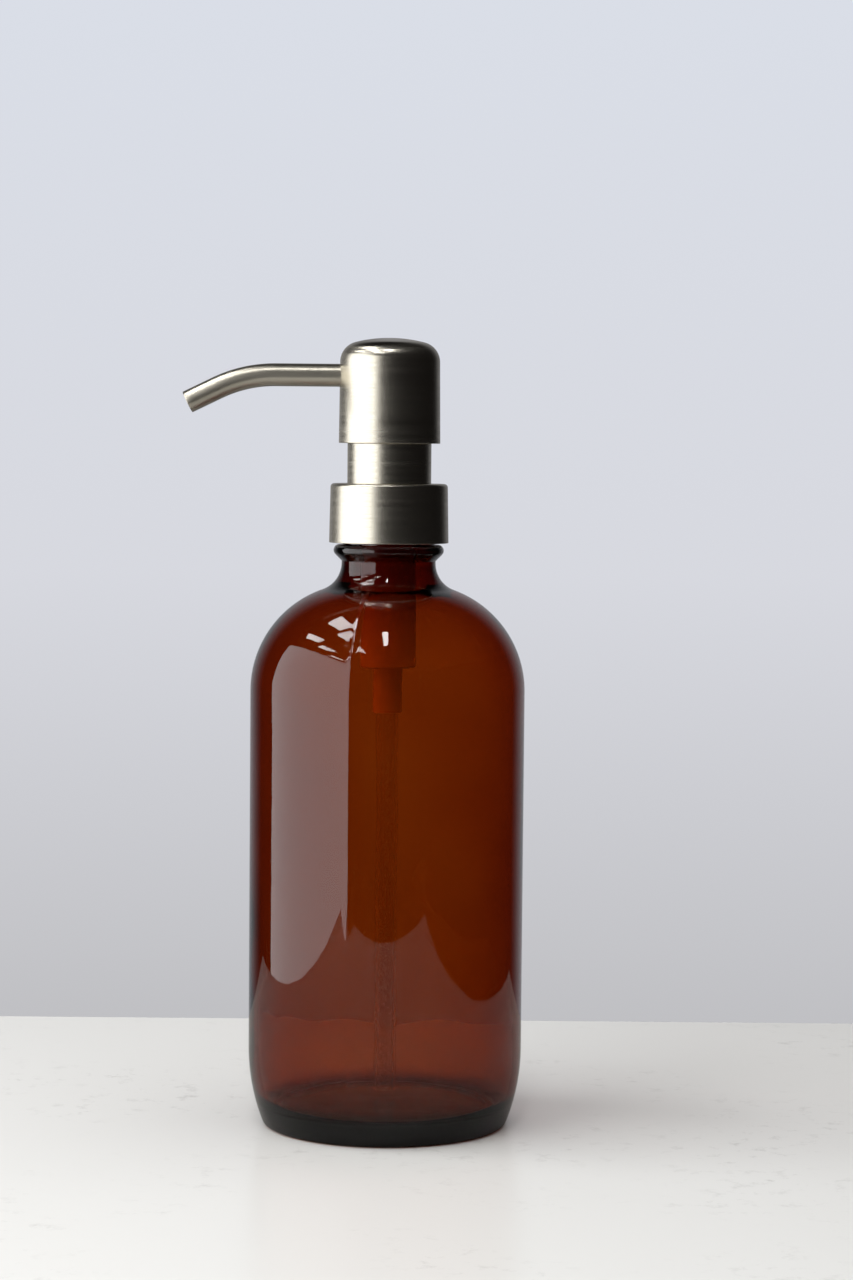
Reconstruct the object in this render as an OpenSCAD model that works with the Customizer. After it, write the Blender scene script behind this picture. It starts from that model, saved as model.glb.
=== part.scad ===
// Soap pump dispenser: a round glass bottle with a screw-on metal lotion pump.
// Millimetres, +Z up. The origin is the centre of the base, on the surface it stands on.
// The spout points along -X. Every radius is about the Z axis unless its comment says otherwise.

/* [Bottle] */
// Outer diameter of the glass body
bottle_d = 75; // [60:0.5:95]
// Height at which the body starts to round into the shoulder
shoulder_z = 118.9; // [70:0.1:180]
// Radius of the shoulder, seen from the side
shoulder_r = 29.2; // [24:0.1:29.8]
// Radius of the hollow curve between the shoulder and the neck
neck_fillet = 7.8; // [4:0.1:10]
// Straight neck between that curve and the middle of the bead
neck_h = 3.4; // [2:0.1:15]
// Wall of the glass body
glass_wall = 2.4; // [1.8:0.1:3.5]
// Glass under the liquid at the bearing ring
base_t = 5; // [3.5:0.1:8]
// Height of the hollow under the base
push_up = 2.2; // [1:0.1:3]
// Radius of the long curve that draws the body in above the base
heel_r = 54; // [40:1:80]
// Height at which that curve starts
heel_z = 20.8; // [12:0.1:24]
// Radius of the small corner at the bearing ring
heel_corner = 1.5; // [0.8:0.1:3]
// Width of the flat bearing ring
ring_w = 3; // [2:0.1:5]
// Radius of the corner inside the base
inner_corner = 6; // [3:0.1:9]

/* [Bottle finish] */
// Diameter over the glass thread
thread_d = 27.5; // [24:0.1:36]
// Height of the thread above the finish wall
thread_h = 1.15; // [0.9:0.05:1.3]
// Rise of the thread in one turn
pitch = 4.2333; // [3.6:0.0001:6]
// Turns of thread on the glass
thread_turns = 1.15; // [1:0.05:1.3]
// Bore of the mouth
mouth_d = 18.4; // [16.4:0.1:20]
// Height of the finish from the bead to the lip
finish_h = 10.2; // [9.6:0.1:14]
// How far the bead stands out past the thread
bead_out = 1.25; // [0.5:0.05:2]
// Radius of the bead's rounded edge
bead_round = 1.6; // [1:0.05:1.8]

/* [Collar] */
// Wall of the metal covers on the collar and the head
cover_wall = 0.6; // [0.4:0.05:0.8]
// Wall of the threaded liner, at its thinnest
liner_wall = 1.3; // [1:0.05:2.5]
// Thickness of the liner's roof
liner_roof = 2.1; // [1.5:0.1:4]
// How much wider the collar is at its lower edge, per side
collar_flare = 0.3; // [0:0.05:0.6]
// Rounding of the collar's upper edge
collar_round = 1; // [0.5:0.05:1.5]
// Gap between the collar and the bead
collar_gap = 0.45; // [0.2:0.05:2]

/* [Pump stack] */
// Travel of the head
stroke = 10.5; // [6:0.1:14]
// Gap left between the head and the collar when the head is pressed
press_gap = 0.4; // [0.2:0.05:1.5]
// Thickness of the foam gasket
gasket_t = 1; // [0.6:0.1:2]
// Thickness of the housing flange
flange_t = 1.5; // [1:0.1:3]
// Bore that the piston runs in
chamber_d = 12.6; // [10:0.1:13.6]
// Wall of the housing
housing_wall = 1.1; // [0.8:0.05:1.3]
// Outer diameter of the dip tube
tube_d = 6; // [4.5:0.1:7.2]
// Wall of the dip tube
tube_wall = 1; // [0.6:0.05:1.2]
// Gap between the dip tube and the inside of the base
tube_gap = 2; // [1:0.1:8]
// Length of the socket that holds the dip tube
socket_l = 12; // [8:0.1:20]
// Diameter of the stem
stem_d = 7.8; // [6.8:0.1:8.4]
// Bore of the stem
stem_bore = 4.2; // [3:0.1:4.4]
// Distance the piston floats on the stem seat to open its ports
float_l = 1.2; // [0.6:0.1:2]
// Diameter of the inlet ball
ball_d = 4.76; // [4:0.01:5.4]
// Lift of the inlet ball
ball_lift = 2; // [1:0.1:3]
// Wire of the return spring
wire_d = 0.8; // [0.5:0.05:1]
// Turns of the return spring
spring_turns = 6; // [5:1:8]

/* [Head] */
// Outer diameter of the metal guide sleeve
sleeve_d = 22.8; // [20:0.1:29]
// Wall of the guide sleeve
sleeve_wall = 0.5; // [0.4:0.05:0.7]
// Clearance around the guide sleeve
slide_gap = 0.45; // [0.3:0.05:0.8]
// Wall of the head's moulded core around the sleeve, at its lower edge
core_wall = 1.33; // [1.1:0.01:2.5]
// How much narrower the head is at its top, per side
head_taper = 0.23; // [0:0.01:0.4]
// Length of the sleeve hidden in the head at rest
sleeve_lap = 2.8; // [2:0.1:6]
// Radius of the rounded edge between the head's side and its crown
crown_edge = 5.5; // [3:0.1:8]
// Radius of the head's crown
crown_r = 38; // [30:1:90]

/* [Spout] */
// Outer diameter of the spout tube
spout_d = 6.2; // [5:0.1:8]
// Wall of the spout tube
spout_wall = 0.5; // [0.35:0.05:0.7]
// Wall of the plastic liner inside the spout
spout_liner_wall = 0.7; // [0.4:0.05:0.9]
// Distance from the axis to the start of the bend
spout_reach = 31; // [20:0.5:60]
// Radius of the bend, at the middle of the tube
bend_r = 36; // [14:0.5:60]
// Angle that the spout turns down
bend_angle = 26; // [10:1:60]
// Straight end of the spout past the bend
tip_l = 9; // [4:0.1:25]

/* [Hidden] */

$fn = 96;
// Steps along a rounded corner of an outline
corner_steps = 8;
// Steps along a long curve of an outline
curve_steps = 20;
// Extra length that makes a cut pass right through
cut = 1;
// Clearance of a running fit, on the radius
run_fit = 0.07;
// Clearance between the piston's lips and the bore, on the radius
lip_fit = 0.05;
// Clearance between two faces that slide or meet
face_gap = 0.1;
// Clearance between two pieces that move past each other
free_gap = 0.4;
// Wall of a moulded tube that guides the stem
guide_wall = 2;
// Depth that a moulded rib sinks into the floor it stands on
rib_sink = 0.3;

// Glass: the centres of the outline's curves
body_r = bottle_d / 2;
finish_r = thread_d / 2 - thread_h;
neck_step = 0.2;
floor_even = 0.2;
neck_r = finish_r + neck_step;
mouth_r = mouth_d / 2;
shoulder_x = body_r - shoulder_r;
fillet_x = neck_r + neck_fillet;
fillet_z = shoulder_z + sqrt(pow(shoulder_r + neck_fillet, 2) - pow(fillet_x - shoulder_x, 2));
fillet_angle = atan2(fillet_z - shoulder_z, fillet_x - shoulder_x);
heel_x = body_r - heel_r;
corner_x = heel_x + sqrt(pow(heel_r - heel_corner, 2) - pow(heel_z - heel_corner, 2));
corner_angle = atan2(heel_corner - heel_z, corner_x - heel_x);
ring_in = corner_x - ring_w;
push_up_r = (pow(ring_in, 2) + pow(push_up, 2)) / (2 * push_up);
push_up_angle = asin(ring_in / push_up_r);

// Glass: the inside, which follows the outside at the wall's distance
inner_heel_r = heel_r - glass_wall;
inner_drop = base_t + inner_corner;
inner_x = heel_x + sqrt(pow(inner_heel_r - inner_corner, 2) - pow(heel_z - inner_drop, 2));
inner_angle = atan2(inner_drop - heel_z, inner_x - heel_x);
floor_crown = push_up - floor_even;
floor_z = base_t + floor_crown;
floor_r = (pow(inner_x, 2) + pow(floor_crown, 2)) / (2 * floor_crown);
floor_angle = asin(inner_x / floor_r);
inner_shoulder_r = shoulder_r - glass_wall;
mouth_x = mouth_r + neck_fillet;
mouth_z = shoulder_z + sqrt(pow(inner_shoulder_r + neck_fillet, 2) - pow(mouth_x - shoulder_x, 2));
mouth_angle = atan2(mouth_z - shoulder_z, mouth_x - shoulder_x);

// Finish: bead, lip and thread
bead_r = thread_d / 2 + bead_out;
bead_x = bead_r - bead_round;
bead_z = fillet_z + neck_h;
bead_top = bead_z + bead_round;
lip_z = bead_top + finish_h;
lip_round = 0.8;
thread_drop = 2.4;
thread_foot = 2.4;
thread_crest = 1;
thread_bottom = lip_z - thread_drop - thread_turns * pitch;

// Collar thread, under the glass thread with an even gap along it
thread_gap = 0.3;
liner_bore = thread_d / 2 + thread_gap;
crest_gap = 0.35;
liner_crest_r = finish_r + crest_gap;
liner_foot = 2;
liner_crest = 0.9;
liner_drop = 1.6;
liner_turns = 1;
liner_start = 20;
thread_step = 7.5;
thread_root = 0.5;
thread_sink = 0.15;
thread_fade = 30;

// The stack that the collar clamps on the lip
flange_z = lip_z + gasket_t;
disc_z = flange_z + flange_t;
disc_t = 0.5;
foot_z = disc_z + disc_t;
roof_z = foot_z + sleeve_wall + face_gap;
collar_top = roof_z + liner_roof + cover_wall;
collar_bottom = bead_top + collar_gap;
sleeve_r = sleeve_d / 2;
sleeve_bore = sleeve_r - sleeve_wall;
sleeve_foot = 1.5;
foot_r = sleeve_r + sleeve_foot;
cavity_r = max(liner_bore, foot_r + free_gap);
liner_top_r = cavity_r + liner_wall;
collar_top_r = liner_top_r + cover_wall;
collar_hole = sleeve_r + slide_gap;
flange_gap = 0.55;
flange_r = liner_bore - flange_gap;
snap_hold = 0.45;
snap_r = flange_r - snap_hold;
snap_t = gasket_t - 2 * face_gap;

// Head, from the collar up
head_z = collar_top + press_gap + stroke;
sleeve_top = head_z + sleeve_lap;
roof_gap = 0.7;
core_roof = sleeve_top + stroke + roof_gap;
core_roof_t = 1.2;
spout_r = spout_d / 2;
spout_boss = 1.2;
boss_r = spout_r + spout_boss;
spout_z = core_roof + boss_r;
core_cap = 0.6;
core_top = spout_z + spout_r + core_cap;
core_bore = sleeve_r + slide_gap;
head_in_r = core_bore + core_wall;
head_r = head_in_r + cover_wall;
head_top_in = head_in_r - head_taper;
crown_x = head_r - head_taper - crown_edge;
crown_z = core_top - sqrt(pow(crown_r - crown_edge, 2) - pow(crown_x, 2));
crown_angle = atan2(core_top - crown_z, crown_x);
core_set_up = 0.8;
core_z = head_z + core_set_up;
post_set_up = 2.3;
core_post_z = head_z + post_set_up;
core_rib_t = 1.2;
core_ribs = 6;
// Spout: its bore, its start in the core and the end of its bend
spout_in = 7;
// Overlap that joins the straight tip to the bend
seam = 0.1;
// How much bending draws the tube's radii down
bend_draw = 0.005;
spout_bore = spout_r - spout_wall;
channel_r = spout_bore - spout_liner_wall;
bend_end_x = -spout_reach - bend_r * sin(bend_angle);
bend_end_z = spout_z - bend_r * (1 - cos(bend_angle));

// Stem, seat, piston and spring, from the chaplet down
stem_r = stem_d / 2;
stem_top = core_roof - roof_gap;
stem_guide = stem_r + run_fit;
post_wall = 2.3;
core_post_r = stem_r + post_wall;
guide_r = stem_r + guide_wall;
guide_top = core_post_z - stroke - free_gap;
chamber_r = chamber_d / 2;
housing_r = chamber_r + housing_wall;
plug_l = 10.1;
plug_z = disc_z - plug_l;
piston_top = plug_z - float_l - free_gap;
lip_l = 1;
hub_top = piston_top - lip_l;
hub_h = 6.7;
hub_bottom = hub_top - hub_h;
piston_bottom = hub_bottom - lip_l / 2;
stem_bottom = hub_top + float_l;
spigot_wall = 1;
spigot_bore = stem_r - spigot_wall;
spigot_r = spigot_bore - run_fit;
spigot_l = 5;
seat_bore = 1.4;
port_r = 0.9;
seat_top = hub_bottom - lip_fit;
seat_t = 1.5;
seat_clear = 1.15;
seat_r = chamber_r - seat_clear;
seat_bottom = seat_top - seat_t;
pilot_l = 3;
hub_wall = 1.6;
piston_hub_r = spigot_r + run_fit + hub_wall;
lip_t = 0.75;
wire_r = wire_d / 2;
spring_mean = seat_r - wire_r - face_gap;
pilot_gap = 0.7;
pilot_r = spring_mean - wire_r - pilot_gap;
spring_spare = 1.4;
// Rise of a closed end turn, in wires
coil_rise = 1.05;
spring_bottom = seat_bottom - stroke - (spring_turns + 1) * wire_d - spring_spare;
spring_top = seat_bottom - face_gap;

// Inlet valve and housing end, from the spring down
ball_r = ball_d / 2;
hook_t = 1;
hook_r = 1.5;
ball_top = spring_bottom - hook_t - free_gap / 2 - ball_lift;
ball_z = ball_top - ball_r;
inlet_r = 1.6;
cone_angle = 45;
seat_gap = 0.05;
cone_apex = ball_z - (ball_r + seat_gap) / sin(cone_angle);
cone_low = cone_apex + inlet_r;
cone_r = 3.2;
chamber_floor = cone_apex + cone_r;
inlet_l = 2;
housing_z = chamber_floor - inlet_l;
tube_r = tube_d / 2;
socket_wall = 0.87;
socket_r = tube_r + socket_wall;
socket_z = housing_z - socket_l;
tube_stop = 1;
tube_top = housing_z - tube_stop;
tube_bottom = floor_z + tube_gap;
hook_ribs = 4;
pilot_h = 4;
pilot_z = lip_z - pilot_h;
mouth_pilot = mouth_r - free_gap;

// Points of an arc about [x, y], from angle a to angle b
function arc(x, y, r, a, b, steps) =
    [for (i = [0:steps]) let (t = a + (b - a) * i / steps) [x + r * cos(t), y + r * sin(t)]];

// A list of points in reverse order
function reversed(points) = [for (i = [len(points) - 1:-1:0]) points[i]];

// Triangles of a tube whose rings of n points follow each other, with flat ends
function tube_faces(rings, n) = concat(
    [for (i = [0:rings - 2], j = [0:n - 1]) let (k = (j + 1) % n)
        [i * n + j, i * n + k, (i + 1) * n + k]],
    [for (i = [0:rings - 2], j = [0:n - 1]) let (k = (j + 1) % n)
        [i * n + j, (i + 1) * n + k, (i + 1) * n + j]],
    [for (j = [1:n - 2]) [0, j + 1, j]],
    [for (j = [1:n - 2]) [(rings - 1) * n, (rings - 1) * n + j, (rings - 1) * n + j + 1]]);

// A solid turned from an outline of [radius, height] points
module turned(points) {
    rotate_extrude() polygon(points);
}

// A screw thread: foot and crest are the widths at the radii foot_at and crest_at
module thread(foot_at, crest_at, foot, crest, z, start, turns) {
    steps = ceil(turns * 360 / thread_step);
    sunk = foot_at - (crest_at - foot_at) * thread_sink;
    rings = [for (i = [0:steps])
        let (t = i * 360 * turns / steps)
        let (edge = min(t, 360 * turns - t) / thread_fade)
        let (tall = min(1, edge))
        let (r = sunk + (crest_at - sunk) * tall)
        let (root = foot_at - sign(crest_at - foot_at) * thread_root)
        let (a = start + t, h = z + pitch * a / 360)
        for (p = [[root, -foot / 2], [r, -crest / 2], [r, crest / 2], [root, foot / 2]])
            [p[0] * cos(a), p[0] * sin(a), h + p[1]]];
    faces = tube_faces(steps + 1, 4);
    inward = crest_at < foot_at;
    polyhedron(rings, inward ? [for (f = faces) reversed(f)] : faces);
}

// The spout's path as a round bar of radius r, longer by extra at both ends
module spout_bar(r, extra) {
    translate([extra - spout_in, 0, spout_z]) rotate([0, -90, 0])
        cylinder(r = r, h = spout_reach - spout_in + extra);
    translate([-spout_reach, 0, spout_z - bend_r]) rotate([90, 0, 0]) rotate([0, 0, 90])
        rotate_extrude(angle = bend_angle) translate([bend_r, 0]) circle(r = r - bend_draw);
    translate([bend_end_x, 0, bend_end_z]) rotate([0, -90 - bend_angle, 0])
        translate([0, 0, -seam]) cylinder(r = r, h = tip_l + seam + extra);
}

// Glass bottle: push-up base, body, shoulder, bead and threaded finish
module bottle() {
    outside = concat(
        arc(0, push_up - push_up_r, push_up_r, 90, 90 - push_up_angle, corner_steps),
        arc(corner_x, heel_corner, heel_corner, -90, corner_angle, corner_steps),
        arc(heel_x, heel_z, heel_r, corner_angle, 0, curve_steps),
        arc(shoulder_x, shoulder_z, shoulder_r, 0, fillet_angle, curve_steps),
        reversed(arc(fillet_x, fillet_z, neck_fillet, 180, fillet_angle + 180, corner_steps)),
        [[neck_r, bead_z - bead_round * sqrt(2) - bead_x + neck_r]],
        arc(bead_x, bead_z, bead_round, -45, 90, corner_steps),
        [[finish_r, bead_top]],
        arc(finish_r - lip_round, lip_z - lip_round, lip_round, 0, 90, corner_steps));
    inside = concat(
        arc(mouth_r + lip_round, lip_z - lip_round, lip_round, 90, 180, corner_steps),
        arc(mouth_x, mouth_z, neck_fillet, 180, mouth_angle + 180, corner_steps),
        reversed(arc(shoulder_x, shoulder_z, inner_shoulder_r, 0, mouth_angle, curve_steps)),
        reversed(arc(heel_x, heel_z, inner_heel_r, inner_angle, 0, curve_steps)),
        reversed(arc(inner_x, inner_drop, inner_corner, -90, inner_angle, corner_steps)),
        reversed(arc(0, floor_z - floor_r, floor_r, 90, 90 - floor_angle, corner_steps)));
    color([0.36, 0.13, 0.03, 0.6]) {
        turned(concat(outside, inside));
        thread(finish_r, thread_d / 2, thread_foot, thread_crest, thread_bottom, 0, thread_turns);
    }
}

// Foam ring between the glass lip and the pump's flange
module neck_gasket() {
    color("white") translate([0, 0, lip_z]) difference() {
        cylinder(r = finish_r, h = gasket_t);
        translate([0, 0, -cut]) cylinder(r = housing_r + face_gap, h = gasket_t + 2 * cut);
    }
}

// Moulded liner of the collar: thread, snap ring under the pump's flange, and roof
module collar_liner() {
    snap_z = flange_z - face_gap;
    snap_in = liner_bore - snap_r;
    color("ivory") {
        turned([
            [liner_bore, collar_bottom], [liner_top_r + collar_flare, collar_bottom],
            [liner_top_r, roof_z + liner_roof], [collar_hole, roof_z + liner_roof],
            [collar_hole, roof_z], [cavity_r, roof_z], [cavity_r, snap_z],
            [snap_r, snap_z], [snap_r, snap_z - snap_t / 2], [liner_bore, snap_z - snap_t / 2 - snap_in]]);
        thread(liner_bore, liner_crest_r, liner_foot, liner_crest,
               thread_bottom - liner_drop, liner_start, liner_turns);
    }
}

// Metal cover of the collar
module collar_shell() {
    wide = collar_top_r + collar_flare;
    color("silver") turned(concat(
        [[wide - cover_wall, collar_bottom], [wide, collar_bottom]],
        arc(collar_top_r - collar_round, collar_top - collar_round, collar_round, 0, 90, corner_steps),
        [[collar_hole, collar_top], [collar_hole, collar_top - cover_wall],
         [liner_top_r, collar_top - cover_wall]]));
}

// Pump barrel with its flange, inlet seat, ball stop ribs and dip tube socket
module housing() {
    draft = 0.5;
    vent_r = 0.5;
    vent_drop = 8;
    vent_z = flange_z - vent_drop;
    barrel = [
        [inlet_r, tube_top], [tube_r, tube_top], [tube_r, socket_z], [socket_r, socket_z],
        [socket_r, housing_z], [housing_r - draft, housing_z], [housing_r, housing_z + draft],
        [housing_r, pilot_z], [max(housing_r, mouth_pilot), pilot_z + draft],
        [max(housing_r, mouth_pilot), lip_z - draft], [housing_r, lip_z - draft],
        [housing_r, flange_z], [flange_r, flange_z], [flange_r, disc_z], [chamber_r, disc_z],
        [chamber_r, chamber_floor], [cone_r, chamber_floor], [inlet_r, cone_low]];
    color("white", 0.8) {
        difference() {
            turned(barrel);
            translate([0, 0, vent_z]) rotate([90, 0, 0]) cylinder(r = vent_r, h = housing_r + cut);
        }
        for (i = [0:hook_ribs - 1]) rotate([0, 0, i * 360 / hook_ribs]) stop_rib();
    }
}

// One rib that guides the inlet ball, hooks over it and carries the spring
module stop_rib() {
    rib_t = 1;
    guide_gap = 0.2;
    guide = ball_r + guide_gap;
    ledge = spring_bottom - hook_t;
    outline = [
        [cone_r, chamber_floor - rib_sink], [chamber_r + housing_wall / 2, chamber_floor - rib_sink],
        [chamber_r + housing_wall / 2, spring_bottom], [hook_r, spring_bottom],
        [hook_r, ledge], [guide, ledge], [guide, chamber_floor + hook_t],
        [cone_r, chamber_floor + hook_t / 2]];
    rotate([90, 0, 0]) translate([0, 0, -rib_t / 2]) linear_extrude(height = rib_t) polygon(outline);
}

// Steel ball that closes the inlet
module inlet_ball() {
    color("gray") translate([0, 0, ball_z]) sphere(r = ball_r);
}

// Height of the spring's wire after t turns: closed end turns and open turns between
function coil_z(t) =
    let (low = spring_bottom + wire_r, high = spring_top - wire_r, flat = wire_d * coil_rise)
    t < 1 ? low + flat * t
    : t > spring_turns - 1 ? high - flat * (spring_turns - t)
    : low + flat + (high - low - 2 * flat) * (t - 1) / (spring_turns - 2);

// Coil spring that returns the head
module return_spring() {
    steps = 20;
    sides = 8;
    total = spring_turns * steps;
    rings = [for (i = [0:total], j = [0:sides - 1])
        let (a = 360 * i / steps, b = 360 * j / sides)
        let (r = spring_mean + wire_r * cos(b))
        [r * cos(a), r * sin(a), coil_z(i / steps) + wire_r * sin(b)]];
    color("gray") polyhedron(rings, tube_faces(total + 1, sides));
}

// Lower end of the stem: spigot with its ports, sealing flange and spring pilot
module stem_seat() {
    port_z = seat_top + port_r;
    color("white") difference() {
        union() {
            translate([0, 0, seat_top - cut / 2])
                cylinder(r = spigot_r, h = stem_bottom + spigot_l - seat_top + cut / 2);
            translate([0, 0, seat_bottom]) cylinder(r = seat_r, h = seat_t);
            translate([0, 0, seat_bottom - pilot_l]) cylinder(r = pilot_r, h = pilot_l + cut / 2);
        }
        translate([0, 0, seat_top]) cylinder(r = seat_bore, h = stem_bottom + spigot_l);
        for (a = [0, 90]) rotate([90, 0, a])
            translate([0, port_z, -seat_r]) cylinder(r = port_r, h = 2 * seat_r);
    }
}

// Two-lipped piston that floats on the stem seat
module piston() {
    bore = spigot_r + run_fit;
    lip_r = chamber_r - lip_fit;
    waist_r = lip_r - lip_t / 2;
    lip_in = lip_r - lip_t;
    lip_root = 2;
    color("white") turned([
        [bore, hub_bottom], [piston_hub_r, hub_bottom], [lip_in, hub_bottom + lip_l],
        [lip_in, piston_bottom], [lip_r, piston_bottom], [lip_r, hub_bottom + lip_l],
        [waist_r, hub_bottom + lip_root], [waist_r, hub_top - lip_root],
        [lip_r, hub_top - lip_l], [lip_r, piston_top], [lip_in, piston_top],
        [lip_in, hub_top - lip_l], [piston_hub_r, hub_top], [bore, hub_top]]);
}

// Stem guide: plug in the barrel, disc on its flange, and the tower inside the sleeve
module chaplet() {
    tower_wall = 1.3;
    tower_in = sleeve_bore - tower_wall;
    tower_floor = foot_z + 1;
    slot_w = 1.6;
    slot_d = 0.8;
    slots = 3;
    color("white") difference() {
        turned([
            [stem_guide, plug_z], [chamber_r, plug_z], [chamber_r, disc_z], [foot_r, disc_z],
            [foot_r, foot_z], [sleeve_bore, foot_z], [sleeve_bore, sleeve_top - sleeve_wall],
            [tower_in, sleeve_top - sleeve_wall], [tower_in, tower_floor], [guide_r, tower_floor],
            [guide_r, guide_top], [stem_guide, guide_top]]);
        for (i = [0:slots - 1]) rotate([0, 0, i * 360 / slots])
            translate([chamber_r - slot_d, -slot_w / 2, plug_z - cut])
                cube([slot_d + cut, slot_w, plug_l]);
    }
}

// Metal sleeve between the collar and the head, with its foot and rolled top edge
module guide_sleeve() {
    rolled = 1.4;
    bend = 0.4;
    color("silver") turned(concat(
        [[sleeve_bore, foot_z], [foot_r, foot_z], [foot_r, foot_z + sleeve_wall],
         [sleeve_r, foot_z + sleeve_wall]],
        arc(sleeve_r - bend, sleeve_top - bend, bend, 0, 90, corner_steps),
        [[sleeve_r - rolled, sleeve_top], [sleeve_r - rolled, sleeve_top - sleeve_wall],
         [sleeve_bore, sleeve_top - sleeve_wall]]));
}

// Hollow stem from the head down to the seat
module stem() {
    color("white") translate([0, 0, stem_bottom]) difference() {
        cylinder(r = stem_r, h = stem_top - stem_bottom);
        translate([0, 0, -cut]) cylinder(r = stem_bore / 2, h = stem_top - stem_bottom + 2 * cut);
        translate([0, 0, -cut]) cylinder(r = spigot_bore, h = spigot_l + 2 * face_gap + cut);
    }
}

// Straight tube from the inlet to just above the base
module dip_tube() {
    color("white", 0.8) translate([0, 0, tube_bottom]) difference() {
        cylinder(r = tube_r, h = tube_top - tube_bottom);
        translate([0, 0, -cut])
            cylinder(r = tube_r - tube_wall, h = tube_top - tube_bottom + 2 * cut);
    }
}

// Moulded core of the head: skirt, roof, stem post, ribs and the spout's socket
module head_core() {
    lower_r = head_in_r - head_taper * (core_z - head_z) / (core_top - head_z);
    rib_z = core_roof + core_roof_t / 2;
    color("ivory") difference() {
        union() {
            turned([
                [core_bore, core_z], [lower_r, core_z], [head_top_in, core_top],
                [core_bore, core_top], [core_bore, core_roof + core_roof_t],
                [core_post_r, core_roof + core_roof_t], [core_post_r, core_top], [0, core_top],
                [0, stem_top], [stem_r, stem_top], [stem_r, core_post_z],
                [core_post_r, core_post_z], [core_post_r, core_roof], [core_bore, core_roof]]);
            for (i = [0:core_ribs - 1]) rotate([0, 0, i * 360 / core_ribs])
                translate([0, -core_rib_t / 2, rib_z])
                    cube([core_bore + core_rib_t / 2, core_rib_t, core_top - rib_z]);
            intersection() {
                translate([0, 0, spout_z]) rotate([0, -90, 0]) cylinder(r = boss_r, h = head_r);
                translate([0, 0, rib_z]) cylinder(r = core_bore + core_rib_t / 2, h = core_top - rib_z);
            }
        }
        translate([-spout_in, 0, spout_z]) rotate([0, -90, 0]) cylinder(r = spout_r, h = head_r);
        translate([0, 0, spout_z]) rotate([0, -90, 0]) cylinder(r = channel_r, h = head_r);
        translate([0, 0, stem_top - cut]) cylinder(r = channel_r, h = spout_z - stem_top + cut);
    }
}

// Metal cover of the head, drawn in one piece with its crown
module head_shell() {
    edge = crown_edge - cover_wall;
    color("silver") difference() {
        turned(concat(
            [[head_in_r, head_z], [head_r, head_z]],
            arc(crown_x, core_top, crown_edge, 0, crown_angle, corner_steps),
            arc(0, crown_z, crown_r, crown_angle, 90, corner_steps),
            arc(0, crown_z, crown_r - cover_wall, 90, crown_angle, corner_steps),
            arc(crown_x, core_top, edge, crown_angle, 0, corner_steps)));
        translate([0, 0, spout_z]) rotate([0, -90, 0]) cylinder(r = spout_r, h = head_r + cut);
    }
}

// Bent metal spout
module spout() {
    color("silver") difference() {
        spout_bar(spout_r, 0);
        spout_bar(spout_bore, cut);
    }
}

// Plastic tube inside the spout that carries the soap
module spout_liner() {
    color("ivory") difference() {
        spout_bar(spout_bore, 0);
        spout_bar(channel_r, cut);
    }
}

bottle();
neck_gasket();
collar_liner();
collar_shell();
housing();
inlet_ball();
return_spring();
stem_seat();
piston();
chaplet();
guide_sleeve();
stem();
dip_tube();
head_core();
head_shell();
spout();
spout_liner();
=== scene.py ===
"""Looks of a soap pump dispenser: an amber glass bottle with a brushed metal pump.
Metres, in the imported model's own frame: +Z up, origin at the centre of the base, spout along -X."""
import math
from types import SimpleNamespace

import bmesh
import bpy
from bpy.props import FloatProperty, FloatVectorProperty, IntProperty, PointerProperty
from mathutils import Euler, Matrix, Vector


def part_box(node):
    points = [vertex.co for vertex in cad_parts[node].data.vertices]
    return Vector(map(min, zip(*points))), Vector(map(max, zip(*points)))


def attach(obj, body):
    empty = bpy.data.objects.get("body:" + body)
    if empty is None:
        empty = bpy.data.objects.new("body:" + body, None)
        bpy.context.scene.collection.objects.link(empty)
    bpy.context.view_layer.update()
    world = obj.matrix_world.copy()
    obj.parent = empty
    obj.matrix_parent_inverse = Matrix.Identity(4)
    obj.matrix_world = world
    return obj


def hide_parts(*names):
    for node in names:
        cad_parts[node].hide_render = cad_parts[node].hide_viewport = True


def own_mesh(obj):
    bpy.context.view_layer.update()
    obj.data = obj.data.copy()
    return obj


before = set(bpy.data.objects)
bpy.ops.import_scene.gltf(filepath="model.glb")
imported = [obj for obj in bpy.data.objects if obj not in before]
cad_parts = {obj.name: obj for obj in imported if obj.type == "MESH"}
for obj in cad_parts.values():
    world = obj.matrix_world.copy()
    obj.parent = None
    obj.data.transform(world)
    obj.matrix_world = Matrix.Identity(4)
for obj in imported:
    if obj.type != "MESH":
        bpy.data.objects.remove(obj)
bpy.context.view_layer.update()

bl_info = {
    "name": "Soap Pump Dispenser",
    "version": (1, 0, 0),
    "blender": (4, 5, 0),
    "location": "3D View > Sidebar > Soap Dispenser",
    "description": "Models the visible pieces of a glass soap pump dispenser and sets up its stage",
    "category": "Object",
}

MM = 0.001
FULL_TURN = 2 * math.pi
# Widest round-off that still counts as one point when a turned mesh is closed
MERGE = 1e-6
# Largest difference in direction at which a vertex still counts as on a mould seam's crest
SEAM_SLACK = 1e-4
SEAM_BAND = math.radians(1.1)
# Small steps and roundings of the glass
NECK_STEP = 0.2 * MM
FLOOR_STEP = 0.2 * MM
LIP = 0.8 * MM
# The glass thread's section: how far its root is sunk, half its foot and its crest, and its place
THREAD_SINK = 0.4 * MM
THREAD_FOOT = 1.2 * MM
THREAD_CREST = 0.5 * MM
THREAD_DROP = 2.4 * MM
THREAD_STEPS = 130
SLEEVE_BEND = 0.4 * MM
TUBE_VERTICES = 64
# Middle part of a noise pattern's values, which a finish spreads over its whole range
GRAIN = (0.3, 0.7)
FULL = (0.0, 1.0)


def low(node):
    """Lowest corner of a node, in metres."""
    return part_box(node)[0]


def high(node):
    """Highest corner of a node, in metres."""
    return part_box(node)[1]


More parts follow.
